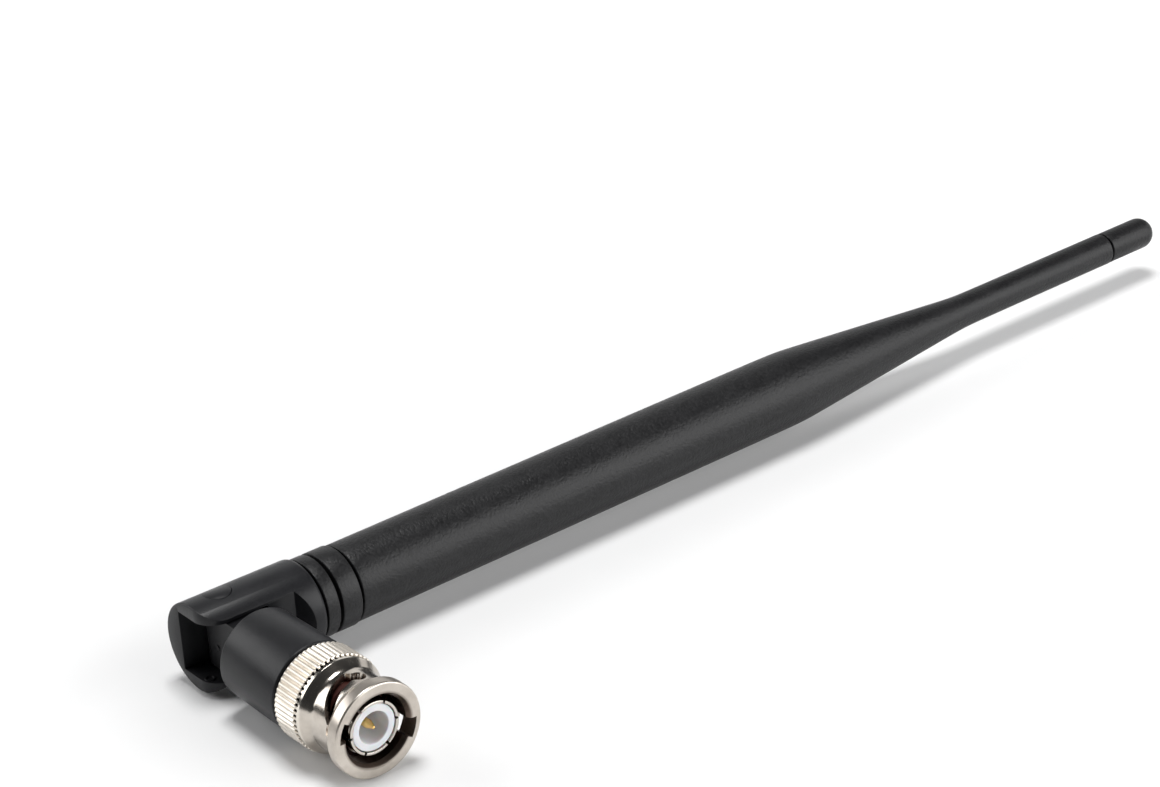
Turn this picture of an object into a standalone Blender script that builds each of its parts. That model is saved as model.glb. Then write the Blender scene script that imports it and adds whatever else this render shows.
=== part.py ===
"""Tilting omnidirectional antenna with a bayonet plug, lying on its side with the elbow bent to 90 degrees.

The mast runs along +X and the plug along -Y, and the hinge of the elbow is parallel to Z. Lengths below are
in millimetres and MM turns them into Blender's metres. Distances along the mast are counted from the plug's
axis, and distances along the plug from the mast's axis, both towards the free end.
"""

from math import cos, exp, pi, radians, sin, sqrt, tau

import bmesh
import bpy
from mathutils import Vector

MM = 0.001
GAP = 0.3  # left between neighbouring pieces
FINE = 56  # sides of the coupling nut, one for each tooth of the knurl
MEDIUM = 32
COARSE = 16

# Elbow
KNUCKLE_RADIUS = 6.95
PIVOT = -0.98  # the hinge's place along the mast and along the plug, which makes both coaxial when straight
EAR_INNER_HEIGHT = 4.8
FORK_END = -6.35
FORK_FLAT = 4.4  # the ears' flat face towards the plug
FORK_CORNER_RADIUS = 3.5
FORK_BACK_WALL = -3.25
FORK_SLOT_FLOOR = 4.0
FORK_STEP_START = 8.6
FORK_STEP_END = 10.9
SHOULDER_RADIUS = 6.72
SHOULDER_END = 12.7
PIN_HEAD_RADIUS = 2.05
PIN_HOLE_RADIUS = 2.2
PIN_SPIGOT_RADIUS = 1.1
PIN_SOCKET_RADIUS = 1.25
PIN_SOCKET_DEPTH = 1.8
PIN_RECESS = 0.1

# Tongue of the barrel, between the fork's ears
TONGUE_HALF_WIDTH = 3.0
TONGUE_HALF_HEIGHT = 4.5
TONGUE_CORNER_RADIUS = 1.0

# Barrel
BARREL_SHOULDER = 7.4
BARREL_FRONT = 21.0
BARREL_FRONT_RADIUS = 7.15
SHANK_BORE_RADIUS = 4.1
SHANK_BORE_END = 13.8
FERRULE_BORE_RADIUS = 2.8
FERRULE_BORE_END = 9.2
CABLE_BORE_RADIUS = 1.6

# Plug
NUT_REAR = 21.3
NUT_FACE = 36.0
NUT_FLANGE_RADIUS = 7.25
NUT_FLANGE_BACK = 34.1
KNURL_CREST_RADIUS = 7.45
KNURL_ROOT_RADIUS = 7.15
KNURL_END = 26.3
NECK_RADIUS = 6.2
NECK_END = 32.9
NUT_BORE_RADIUS = 5.1
NUT_MOUTH_RADIUS = 5.6
NUT_LIP_RADIUS = 4.15
SLOT_WIDTH = 2.3
SLOT_ENTRY_ANGLE = radians(161.5)
SLOT_SWEEP = radians(79)
SLOT_ENTRY = 33.6
SLOT_DEPTH = 3.0
SLOT_EASE = radians(28)
SLOT_SLOPE = 0.55  # per radian
DETENT_START = radians(66)
DETENT_DEPTH = 1.0
SLOT_RADIUS = 6.45
ENTRY_WIDTH = 2.5
BODY_FLANGE_REAR = 27.6
BODY_FLANGE_FRONT = 29.0
BODY_FLANGE_RADIUS = 4.9
SHANK_RADIUS = 3.8
SHANK_END = 14.1
FINGER_RADIUS = 4.05
FINGER_LIP_RADIUS = 4.15
FINGER_BORE_RADIUS = 3.6
FINGER_TIP = 35.1
FINGER_ROOT = 30.4
FINGER_COUNT = 6
FINGER_SLIT = 0.4
INSULATOR_FRONT = 34.9
INSULATOR_FLOOR = 29.8
INSULATOR_HOLE_RADIUS = 2.45
INSULATOR_MOUTH_RADIUS = 2.65
INSULATOR_REAR = 24.0
PIN_RADIUS = 0.68
PIN_TIP = 35.0
PIN_CUP_RADIUS = 0.95
PIN_CUP_END = 18.2

# Mast
GROOVE_RADIUS = 5.0  # the fork's shank, which shows as the floor of the grooves
SHANK_TIP = 27.0
LOCK_RING = (12.95, 15.15)
COLLAR = (15.65, 19.1)
RING_RADIUS = 6.31
RING_BORE_RADIUS = 5.25
RADOME_START = 19.5
RADOME_RADIUS = 6.12
RADOME_CONE_START = 109.3
RADOME_CONE_END = 148.6
RADOME_TIP_RADIUS = 2.74
RADOME_END = 184.2
RADOME_WALL = 0.85
CAP_RADIUS = 2.7
CAP_START = 184.6
CAP_SPHERE_CENTRE = 193.4

# Radiator inside the mast
COAX_RADIUS = 0.95
SLEEVE = (34.0, 65.0)
SLEEVE_RADIUS = 4.2
SLEEVE_WALL = 0.35
COAX_END = 66.0
COIL = (118.0, 129.0)
COIL_TURNS = 5
COIL_RADIUS = 2.1
WIRE_RADIUS = 0.45
WHIP_END = 187.0


def clear_scene():
    for obj in list(bpy.data.objects):
        bpy.data.objects.remove(obj, do_unlink=True)


def material(name, colour, roughness, metallic=0.0):
    made = bpy.data.materials.new(name)
    made.use_nodes = True
    shader = made.node_tree.nodes["Principled BSDF"]
    shader.inputs["Base Color"].default_value = (*colour, 1.0)
    shader.inputs["Roughness"].default_value = roughness
    shader.inputs["Metallic"].default_value = metallic
    return made


def empty(name, parent=None, location=(0, 0, 0), rotation=(0, 0, 0)):
    made = bpy.data.objects.new(name, None)
    bpy.context.scene.collection.objects.link(made)
    made.parent = parent
    made.location = Vector(location) * MM
    made.rotation_euler = [radians(angle) for angle in rotation]
    return made


def finish(name, mesh, parent, finish_material, sharp_angle=35):
    """A bmesh in millimetres made into an object in metres, shaded smooth with its sharp edges kept."""
    bmesh.ops.recalc_face_normals(mesh, faces=mesh.faces)
    bmesh.ops.scale(mesh, vec=(MM, MM, MM), verts=mesh.verts)
    data = bpy.data.meshes.new(name)
    mesh.to_mesh(data)
    mesh.free()
    data.shade_smooth()
    data.set_sharp_from_angle(angle=radians(sharp_angle))
    data.materials.append(finish_material)
    made = bpy.data.objects.new(name, data)
    bpy.context.scene.collection.objects.link(made)
    made.parent = parent
    return made


def ring_of(mesh, radius, along, sides, teeth_depth=0.0):
    """One ring of vertices about Z. With teeth it has two vertices to a side, a crest and a root."""
    if radius == 0:
        return [mesh.verts.new((0, 0, along))]
    if not teeth_depth:
        return [
            mesh.verts.new((radius * cos(k * tau / sides), radius * sin(k * tau / sides), along))
            for k in range(sides)
        ]
    ring = []
    for k in range(2 * sides):
        reach = radius - teeth_depth * (k % 2)
        ring.append(mesh.verts.new((reach * cos(k * pi / sides), reach * sin(k * pi / sides), along)))
    return ring


def stitch(mesh, first, second):
    """Faces between two rings of the same size, or where one has twice as many vertices or only one."""
    if len(first) > len(second):
        first, second = second, first
    count = len(second)
    for k in range(count):
        after = (k + 1) % count
        if len(first) == 1:
            mesh.faces.new((first[0], second[k], second[after]))
        elif len(first) == count:
            mesh.faces.new((first[k], first[after], second[after], second[k]))
        elif k % 2 == 0:
            near = first[k // 2]
            mesh.faces.new((near, second[k], second[after]))
        else:
            near, far = first[k // 2], first[(k // 2 + 1) % len(first)]
            mesh.faces.new((near, second[k], second[after]))
            mesh.faces.new((near, second[after], far))


def turned(name, profile, sides, parent, finish_material, sharp_angle=35):
    """A solid of revolution about its parent's Z. The profile is a closed loop of (radius, along) or
    (radius, along, depth of teeth). It starts and ends at radius 0, or it goes round a hollow middle."""
    mesh = bmesh.new()
    rings = [ring_of(mesh, point[0], point[1], sides, *point[2:]) for point in profile]
    for first, second in zip(rings, rings[1:]):
        stitch(mesh, first, second)
    if profile[0][0] > 0:
        stitch(mesh, rings[-1], rings[0])
    return finish(name, mesh, parent, finish_material, sharp_angle)


def tube(name, outer, inner, start, end, sides, parent, finish_material):
    profile = [(inner, start), (outer, start), (outer, end), (inner, end)]
    return turned(name, profile, sides, parent, finish_material)


def arc(centre, radius, start, end, steps):
    """Points (radius, along) or (x, y) on an arc from start to end, in degrees."""
    angles = [radians(start + (end - start) * k / steps) for k in range(steps + 1)]
    return [(centre[0] + radius * cos(a), centre[1] + radius * sin(a)) for a in angles]


def prism(name, outline, low, high, parent, finish_material, sharp_angle=35):
    """An outline in the parent's XY plane, extruded along Z."""
    mesh = bmesh.new()
    bottom = mesh.faces.new([mesh.verts.new((x, y, low)) for x, y in outline])
    raised = bmesh.ops.extrude_face_region(mesh, geom=[bottom])["geom"]
    moved = [part for part in raised if isinstance(part, bmesh.types.BMVert)]
    bmesh.ops.translate(mesh, vec=(0, 0, high - low), verts=moved)
    return finish(name, mesh, parent, finish_material, sharp_angle)


def swept(name, points, radius, sides, parent, finish_material):
    """A round wire along points, with flat ends."""
    mesh = bmesh.new()
    rings = []
    side = None
    for k, point in enumerate(points):
        ahead = (points[min(k + 1, len(points) - 1)] - points[max(k - 1, 0)]).normalized()
        side = ahead.orthogonal() if side is None else side - ahead * side.dot(ahead)
        side = side.normalized()
        other = ahead.cross(side)
        around = [side * cos(j * tau / sides) + other * sin(j * tau / sides) for j in range(sides)]
        rings.append([mesh.verts.new(point + direction * radius) for direction in around])
    for first, second in zip(rings, rings[1:]):
        stitch(mesh, first, second)
    mesh.faces.new(rings[0])
    mesh.faces.new(rings[-1])
    return finish(name, mesh, parent, finish_material)


def boolean(target, tool, operation="DIFFERENCE"):
    """Applies a Boolean to the target and keeps the tool as a hidden wire object."""
    modifier = target.modifiers.new(tool.name, "BOOLEAN")
    modifier.operation = operation
    modifier.object = tool
    modifier.solver = "EXACT"
    tool.hide_render = True
    tool.display_type = "WIRE"


def make_materials():
    return {
        "black_plastic": material("black_plastic", (0.030, 0.031, 0.033), 0.42),
        "nickel": material("nickel", (0.72, 0.68, 0.62), 0.24, 1.0),
        "ptfe": material("ptfe", (0.86, 0.86, 0.85), 0.38),
        "gold": material("gold", (0.95, 0.66, 0.24), 0.2, 1.0),
        "brass": material("brass", (0.74, 0.55, 0.26), 0.35, 1.0),
        "copper": material("copper", (0.80, 0.42, 0.24), 0.35, 1.0),
        "spring_steel": material("spring_steel", (0.52, 0.52, 0.53), 0.35, 1.0),
        "silicone": material("silicone", (0.10, 0.025, 0.018), 0.6),
        "cable_jacket": material("cable_jacket", (0.36, 0.19, 0.10), 0.45),
        "white_nylon": material("white_nylon", (0.78, 0.77, 0.73), 0.5),
    }


def make_fork(mast, hinge, finishes):
    """The knuckle: two ears with a slot between them, a closed back, and the shank that carries the mast."""
    profile = [
        (0, FORK_END),
        (KNUCKLE_RADIUS - 0.25, FORK_END),
        (KNUCKLE_RADIUS, FORK_END + 0.25),
        (SHOULDER_RADIUS, SHOULDER_END - 1.3),
        *arc((SHOULDER_RADIUS - 1.1, SHOULDER_END - 1.1), 1.1, 0, 80, 4)[1:],
        (GROOVE_RADIUS, SHOULDER_END),
        (GROOVE_RADIUS, SHANK_TIP - 0.5),
        (GROOVE_RADIUS - 0.5, SHANK_TIP),
        (0, SHANK_TIP),
    ]
    fork = turned("fork_housing", profile, 48, mast, finishes["black_plastic"])
    side_on = empty("fork_plan", mast.parent, rotation=(180, 0, 0))
    corner = (FORK_END + FORK_CORNER_RADIUS, FORK_FLAT - FORK_CORNER_RADIUS)
    beyond = KNUCKLE_RADIUS + 2
    front = [
        (FORK_END - 3, corner[1]),
        *arc(corner, FORK_CORNER_RADIUS, 180, 90, 6),
        (FORK_STEP_START, FORK_FLAT),
        (FORK_STEP_END, KNUCKLE_RADIUS + 0.4),
        (FORK_STEP_END, beyond),
        (FORK_END - 3, beyond),
    ]
    slot = [
        (FORK_END - 2, FORK_BACK_WALL),
        (FORK_SLOT_FLOOR, FORK_BACK_WALL),
        (FORK_SLOT_FLOOR, beyond),
        (FORK_END - 2, beyond),
    ]
    plain = finishes["black_plastic"]
    boolean(fork, prism("fork_front_cutter", front, -beyond, beyond, side_on, plain))
    boolean(fork, prism("fork_slot_cutter", slot, -EAR_INNER_HEIGHT, EAR_INNER_HEIGHT, side_on, plain))
    bore = [(0, FORK_SLOT_FLOOR - 1), (CABLE_BORE_RADIUS, FORK_SLOT_FLOOR - 1)]
    bore += [(CABLE_BORE_RADIUS, SHANK_TIP + 1), (0, SHANK_TIP + 1)]
    boolean(fork, turned("fork_bore_cutter", bore, COARSE, mast, plain))
    reaches = (("upper", EAR_INNER_HEIGHT - 1, beyond), ("lower", -beyond, 1 - EAR_INNER_HEIGHT))
    for name, low, high in reaches:
        hole = [(0, low), (PIN_HOLE_RADIUS, low), (PIN_HOLE_RADIUS, high), (0, high)]
        boolean(fork, turned(f"fork_{name}_pin_cutter", hole, MEDIUM, hinge, plain))


def make_hinge_pins(mast, hinge, finishes):
    """Two stepped pins: a head in each ear, cut to the knuckle's outside, and a spigot in the tongue."""
    head_bottom = EAR_INNER_HEIGHT + 0.15
    tip = TONGUE_HALF_HEIGHT - PIN_SOCKET_DEPTH + 0.15
    profile = [
        (0, tip),
        (PIN_SPIGOT_RADIUS, tip),
        (PIN_SPIGOT_RADIUS, head_bottom),
        (PIN_HEAD_RADIUS, head_bottom),
        (PIN_HEAD_RADIUS, KNUCKLE_RADIUS + 1),
        (0, KNUCKLE_RADIUS + 1),
    ]
    plain = finishes["black_plastic"]
    reach = KNUCKLE_RADIUS - PIN_RECESS
    outside = turned("pin_head_outline", [(0, -8), (reach, -8), (reach, 8), (0, 8)], 48, mast, plain)
    for name, side in (("hinge_pin_top", 1), ("hinge_pin_bottom", -1)):
        pin = turned(name, [(radius, side * height) for radius, height in profile], MEDIUM, hinge, plain)
        boolean(pin, outside, "INTERSECT")


def make_barrel(plug, hinge, finishes):
    """The plug's plastic sleeve with the tongue that turns between the fork's ears, as one moulding."""
    profile = [
        (0, BARREL_SHOULDER),
        (KNUCKLE_RADIUS - 0.35, BARREL_SHOULDER),
        (KNUCKLE_RADIUS - 0.02, BARREL_SHOULDER + 0.35),
        (BARREL_FRONT_RADIUS, BARREL_FRONT - 0.3),
        (BARREL_FRONT_RADIUS - 0.3, BARREL_FRONT),
        (SHANK_BORE_RADIUS, BARREL_FRONT),
        (SHANK_BORE_RADIUS, SHANK_BORE_END),
        (FERRULE_BORE_RADIUS, SHANK_BORE_END),
        (FERRULE_BORE_RADIUS, FERRULE_BORE_END),
        (0, FERRULE_BORE_END),
    ]
    barrel = turned("barrel", profile, 48, plug, finishes["black_plastic"])
    plan = empty("tongue_plan", plug.parent, rotation=(180, 0, 0))
    wide = TONGUE_HALF_WIDTH
    round_end = wide + PIVOT
    corner = (wide - TONGUE_CORNER_RADIUS, TONGUE_CORNER_RADIUS - wide)
    outline = [
        (wide, BARREL_SHOULDER + 0.6),
        (-wide, BARREL_SHOULDER + 0.6),
        *arc((PIVOT, PIVOT), round_end, 180, 270, 6),
        *arc(corner, TONGUE_CORNER_RADIUS, 270, 360, 4),
    ]
    plain = finishes["black_plastic"]
    tongue = prism("tongue_block", outline, -TONGUE_HALF_HEIGHT, TONGUE_HALF_HEIGHT, plan, plain)
    boolean(barrel, tongue, "UNION")
    bore = [(0, -wide - 1), (CABLE_BORE_RADIUS, -wide - 1)]
    bore += [(CABLE_BORE_RADIUS, FERRULE_BORE_END + 0.5), (0, FERRULE_BORE_END + 0.5)]
    boolean(barrel, turned("barrel_bore_cutter", bore, COARSE, plug, plain))
    channel = [(0, -wide - 1), (wide + 1, -wide - 1), (wide + 1, 2.6), (0, 2.6)]
    reach = CABLE_BORE_RADIUS
    boolean(barrel, prism("tongue_channel_cutter", channel, -reach, reach, plan, plain))
    for name, sign in (("upper", 1), ("lower", -1)):
        inner, outer = TONGUE_HALF_HEIGHT - PIN_SOCKET_DEPTH, TONGUE_HALF_HEIGHT + 1
        socket = [(0, sign * inner), (PIN_SOCKET_RADIUS, sign * inner)]
        socket += [(PIN_SOCKET_RADIUS, sign * outer), (0, sign * outer)]
        boolean(barrel, turned(f"tongue_{name}_pin_cutter", socket, COARSE, hinge, plain))


def cam_distance(turn):
    """How far along the plug the slot's middle lies after this turn: an easing ramp, then the detent."""
    ramp = SLOT_ENTRY - SLOT_DEPTH * (1 - exp(-turn / SLOT_EASE)) - SLOT_SLOPE * turn
    into = min(max((turn - DETENT_START) / (SLOT_SWEEP - DETENT_START), 0), 1)
    return ramp + DETENT_DEPTH * into * into * (3 - 2 * into)


def slot_stations():
    """(turn, nearer edge, farther edge) along one slot: entry through the flange, cam, round end."""
    half = SLOT_WIDTH / 2
    lead = ENTRY_WIDTH / 2 / NUT_BORE_RADIUS
    stations = [(turn, cam_distance(max(turn, 0)) - half, NUT_FACE + 1) for turn in (-lead, 0, lead)]
    for k in range(15):
        turn = lead + 0.01 + (SLOT_SWEEP - lead - 0.01) * k / 14
        stations.append((turn, cam_distance(turn) - half, cam_distance(turn) + half))
    for past in (radians(30), radians(60), radians(84)):
        turn = SLOT_SWEEP + half * sin(past) / NECK_RADIUS
        stations.append((turn, cam_distance(turn) - half * cos(past), cam_distance(turn) + half * cos(past)))
    return stations


def slot_cutter(name, first_angle, parent, finish_material):
    mesh = bmesh.new()
    rings = []
    for turn, near, far in slot_stations():
        angle = first_angle - turn
        ring = []
        for radius, along in ((4.5, near), (SLOT_RADIUS, near), (SLOT_RADIUS, far), (4.5, far)):
            ring.append(mesh.verts.new((radius * cos(angle), radius * sin(angle), along)))
        rings.append(ring)
    for first, second in zip(rings, rings[1:]):
        stitch(mesh, first, second)
    mesh.faces.new(rings[0])
    mesh.faces.new(rings[-1])
    return finish(name, mesh, parent, finish_material)


def make_coupling_nut(plug, finishes):
    """The bayonet nut: knurled grip, waisted neck with two helical slots, and the flange round the mouth."""
    teeth = KNURL_CREST_RADIUS - KNURL_ROOT_RADIUS
    profile = [
        (NUT_LIP_RADIUS, NUT_REAR + 1),
        (5.3, NUT_REAR + 1),
        (5.3, NUT_REAR),
        (KNURL_ROOT_RADIUS - 0.3, NUT_REAR),
        (KNURL_CREST_RADIUS, NUT_REAR + 0.5, teeth),
        (KNURL_CREST_RADIUS, KNURL_END, teeth),
        (KNURL_ROOT_RADIUS - 0.15, KNURL_END + 0.4),
        (KNURL_ROOT_RADIUS - 0.15, KNURL_END + 0.9),
        (KNURL_ROOT_RADIUS - 0.4, KNURL_END + 1.2),
        (NECK_RADIUS + 0.15, KNURL_END + 1.8),
        (NECK_RADIUS, KNURL_END + 2.3),
        (NECK_RADIUS + 0.1, NECK_END),
        (NUT_FLANGE_RADIUS - 0.1, NUT_FLANGE_BACK),
        (NUT_FLANGE_RADIUS, NUT_FLANGE_BACK + 0.2),
        (NUT_FLANGE_RADIUS, NUT_FACE - 0.35),
        (NUT_FLANGE_RADIUS - 0.35, NUT_FACE),
        (NUT_MOUTH_RADIUS, NUT_FACE),
        (NUT_BORE_RADIUS, NUT_FACE - 0.7),
        (NUT_BORE_RADIUS, 24.4),
        (NUT_LIP_RADIUS, 24.4),
    ]
    nut = turned("coupling_nut", profile, FINE, plug, finishes["nickel"], 25)
    for name, angle in (("left", SLOT_ENTRY_ANGLE), ("right", SLOT_ENTRY_ANGLE + pi)):
        boolean(nut, slot_cutter(f"nut_{name}_slot_cutter", angle, plug, finishes["nickel"]))


def make_plug_body(plug, finishes):
    """The fixed metal body: slit contact fingers, the flange that the nut pulls on, and the rear shank."""
    profile = [
        (1.55, SHANK_END),
        (SHANK_RADIUS, SHANK_END),
        (SHANK_RADIUS, BODY_FLANGE_REAR),
        (BODY_FLANGE_RADIUS, BODY_FLANGE_REAR),
        (BODY_FLANGE_RADIUS, BODY_FLANGE_FRONT),
        (FINGER_RADIUS, BODY_FLANGE_FRONT),
        (FINGER_RADIUS, FINGER_TIP - 0.9),
        (FINGER_LIP_RADIUS, FINGER_TIP - 0.5),
        (FINGER_LIP_RADIUS - 0.12, FINGER_TIP),
        (FINGER_BORE_RADIUS, FINGER_TIP),
        (FINGER_BORE_RADIUS, INSULATOR_REAR - GAP),
        (1.55, INSULATOR_REAR - GAP),
    ]
    body = turned("outer_contact", profile, 36, plug, finishes["nickel"])
    for k in range(FINGER_COUNT // 2):
        angle = radians(1) + k * tau / FINGER_COUNT
        along = Vector((cos(angle), sin(angle))) * (FINGER_LIP_RADIUS + 1)
        across = Vector((-sin(angle), cos(angle))) * FINGER_SLIT / 2
        outline = [-along - across, along - across, along + across, across - along]
        name = f"finger_slit_cutter_{k + 1}"
        slit = prism(name, outline, FINGER_ROOT, FINGER_TIP + 1, plug, finishes["nickel"])
        boolean(body, slit)
    groove_floor = SHANK_RADIUS - 0.35
    beyond = SHANK_RADIUS + 1
    groove = [(groove_floor, 21.35), (beyond, 21.35), (beyond, 22.05), (groove_floor, 22.05)]
    boolean(body, turned("ring_groove_cutter", groove, 36, plug, finishes["nickel"]))


def make_plug_insides(plug, finishes):
    insulator = [
        (PIN_RADIUS + 0.12, INSULATOR_REAR),
        (FINGER_BORE_RADIUS - 0.12, INSULATOR_REAR),
        (FINGER_BORE_RADIUS - 0.12, INSULATOR_FRONT - 0.15),
        (FINGER_BORE_RADIUS - 0.27, INSULATOR_FRONT),
        (INSULATOR_MOUTH_RADIUS, INSULATOR_FRONT),
        (INSULATOR_HOLE_RADIUS, INSULATOR_FRONT - 0.4),
        (INSULATOR_HOLE_RADIUS, INSULATOR_FLOOR),
        (PIN_RADIUS + 0.12, INSULATOR_FLOOR),
    ]
    turned("insulator", insulator, MEDIUM, plug, finishes["ptfe"])
    pin = [
        (0, PIN_CUP_END + 1.9),
        (0.42, PIN_CUP_END + 1.7),
        (0.5, PIN_CUP_END),
        (PIN_CUP_RADIUS, PIN_CUP_END),
        (PIN_CUP_RADIUS, INSULATOR_REAR - 0.6),
        (PIN_RADIUS, INSULATOR_REAR - 0.3),
        (PIN_RADIUS, PIN_TIP - 1.5),
        (0.3, PIN_TIP - 0.25),
        (0.12, PIN_TIP),
        (0, PIN_TIP),
    ]
    turned("center_pin", pin, COARSE, plug, finishes["gold"])
    tube("face_gasket", 4.95, 4.3, BODY_FLANGE_FRONT + 0.15, 30.2, MEDIUM, plug, finishes["silicone"])
    tube("crimp_ferrule", 2.5, 1.9, 9.6, 13.6, MEDIUM, plug, finishes["nickel"])
    points = [Vector((0, 0, along)) for along in (8.2, 12.0, 16.0, PIN_CUP_END - 0.1)]
    swept("coax_plug_end", points, COAX_RADIUS, 12, plug, finishes["cable_jacket"])


def make_washers(plug, finishes):
    """The nut's thrust washer and wave spring, and the snap ring that holds the nut on the body."""
    tube("thrust_washer", 4.95, 4.0, 24.6, 25.1, MEDIUM, plug, finishes["spring_steel"])
    sides, waves, half, swing = 48, 3, 0.13, 0.85
    mesh = bmesh.new()
    rings = []
    for radius, lift in ((4.05, -half), (4.85, -half), (4.85, half), (4.05, half)):
        ring = []
        for k in range(sides):
            angle = k * tau / sides
            along = (25.3 + BODY_FLANGE_REAR - 0.1) / 2 + lift + swing * cos(waves * angle)
            ring.append(mesh.verts.new((radius * cos(angle), radius * sin(angle), along)))
        rings.append(ring)
    for k in range(4):
        stitch(mesh, rings[k], rings[(k + 1) % 4])
    finish("wave_spring", mesh, plug, finishes["spring_steel"], 50)
    opening = radians(18)
    outline = []
    for radius, first, last in ((4.9, opening, tau - opening), (3.6, tau - opening, opening)):
        for k in range(29):
            angle = first + (last - first) * k / 28
            outline.append((radius * cos(angle), radius * sin(angle)))
    prism("snap_ring", outline, 21.5, 21.9, plug, finishes["spring_steel"])


def make_elbow_cable(frame, finishes):
    """The bend of the feed cable through the tongue, from the plug's axis round to the mast's."""
    bend, straight = 2.4, 7.9
    turn = [Vector((bend - bend * cos(a), -bend + bend * sin(a), 0)) for a in [k * pi / 16 for k in range(9)]]
    points = [Vector((0, -straight, 0)), Vector((0, -5.2, 0)), *turn, Vector((4.4, 0, 0))]
    swept("coax_elbow", points, COAX_RADIUS, 12, frame, finishes["cable_jacket"])


def make_rings(mast, finishes):
    for name, (start, end) in (("lock_ring", LOCK_RING), ("collar", COLLAR)):
        profile = [
            (RING_BORE_RADIUS, start),
            (RING_RADIUS - 0.15, start),
            (RING_RADIUS, start + 0.15),
            (RING_RADIUS, end - 0.15),
            (RING_RADIUS - 0.15, end),
            (RING_BORE_RADIUS, end),
        ]
        turned(name, profile, 48, mast, finishes["black_plastic"])


def radome_radius(along):
    """Outer radius of the mast's cover: straight, then a cone with softly blended ends, then straight."""
    slope = (RADOME_RADIUS - RADOME_TIP_RADIUS) / (RADOME_CONE_END - RADOME_CONE_START)
    soft = 2.0
    into = along - RADOME_CONE_START
    out = along - RADOME_CONE_END
    ramp = (into + sqrt(into**2 + soft**2)) / 2 - (out + sqrt(out**2 + soft**2)) / 2
    return RADOME_RADIUS - slope * ramp


def make_radome(mast, finishes):
    middle = [60, 100, 106, 109, 112, 118, 129, 140, 146, 149, 153, 165]
    stations = [RADOME_START + 0.2] + middle + [RADOME_END - 0.1]
    outer = [(RADOME_RADIUS - 0.15, RADOME_START)]
    outer += [(radome_radius(along), along) for along in stations]
    outer.append((RADOME_TIP_RADIUS - 0.1, RADOME_END))
    seat = (GROOVE_RADIUS + 0.25, SHANK_TIP + 0.5)
    inner = [(radome_radius(along) - RADOME_WALL, along) for along in (RADOME_END, 152, 147, 111, 105, 32)]
    inner += [seat, (seat[0], RADOME_START)]
    turned("radome", outer + inner, 48, mast, finishes["black_plastic"])


def make_tip_cap(mast, finishes):
    """The rounded cap, with a stem that plugs into the radome and a blind hole for the whip's end."""
    stem, hole = RADOME_TIP_RADIUS - RADOME_WALL - 0.2, 0.8
    profile = [
        (0, WHIP_END + 0.5),
        (hole, WHIP_END + 0.5),
        (hole, CAP_START - 4),
        (stem, CAP_START - 4),
        (stem, CAP_START),
        (CAP_RADIUS - 0.1, CAP_START),
        (CAP_RADIUS, CAP_START + 0.1),
        *[(r, along) for r, along in arc((0, CAP_SPHERE_CENTRE), CAP_RADIUS, 0, 90, 7)[:-1]],
        (0, CAP_SPHERE_CENTRE + CAP_RADIUS),
    ]
    turned("tip_cap", profile, MEDIUM, mast, finishes["black_plastic"])


def make_radiator(mast, finishes):
    """What the radome covers: cable, quarter-wave sleeve, lower wire, coil, whip and their spacers."""
    points = [Vector((0, 0, along)) for along in (4.7, 20, 40, COAX_END)]
    swept("coax_mast_end", points, COAX_RADIUS, 12, mast, finishes["cable_jacket"])
    sleeve = [
        (SLEEVE_RADIUS - SLEEVE_WALL, SLEEVE[0]),
        (SLEEVE_RADIUS, SLEEVE[0]),
        (SLEEVE_RADIUS, SLEEVE[1]),
        (COAX_RADIUS + 0.15, SLEEVE[1]),
        (COAX_RADIUS + 0.15, SLEEVE[1] - 0.8),
        (SLEEVE_RADIUS - SLEEVE_WALL, SLEEVE[1] - 0.8),
    ]
    turned("sleeve_radiator", sleeve, MEDIUM, mast, finishes["brass"])
    spacer_radius = RADOME_RADIUS - RADOME_WALL - 0.2
    for name, start, hole in (("lower_spacer", 29.5, COAX_RADIUS), ("upper_spacer", 92.0, WIRE_RADIUS)):
        tube(name, spacer_radius, hole + 0.15, start, start + 3, 24, mast, finishes["white_nylon"])
    wire_start = COAX_END + 0.2
    for name, start, end in (("lower_wire", wire_start, COIL[0] - 0.2), ("whip", COIL[1] + 0.2, WHIP_END)):
        swept(name, [Vector((0, 0, start)), Vector((0, 0, end))], WIRE_RADIUS, 10, mast, finishes["copper"])
    start, end = COIL[0], COIL[1]
    per_turn, count = 12, COIL_TURNS * 12
    points = [Vector((0, 0, start)), Vector((COIL_RADIUS * 0.55, 0, start + 0.3))]
    for k in range(count + 1):
        angle = k * tau / per_turn
        along = start + 1.0 + (end - start - 2.0) * k / count
        points.append(Vector((COIL_RADIUS * cos(angle), COIL_RADIUS * sin(angle), along)))
    points += [Vector((COIL_RADIUS * 0.55, 0, end - 0.3)), Vector((0, 0, end))]
    swept("phasing_coil", points, 0.3, 8, mast, finishes["copper"])
    former = [(0, start + 1.3), (1.45, start + 1.3), (1.45, end - 1.3), (0, end - 1.3)]
    turned("coil_former", former, COARSE, mast, finishes["white_nylon"])
    bush_radius = RADOME_TIP_RADIUS - RADOME_WALL - 0.2
    tube("whip_bush", bush_radius, WIRE_RADIUS + 0.15, 156, 159, COARSE, mast, finishes["white_nylon"])


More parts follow.
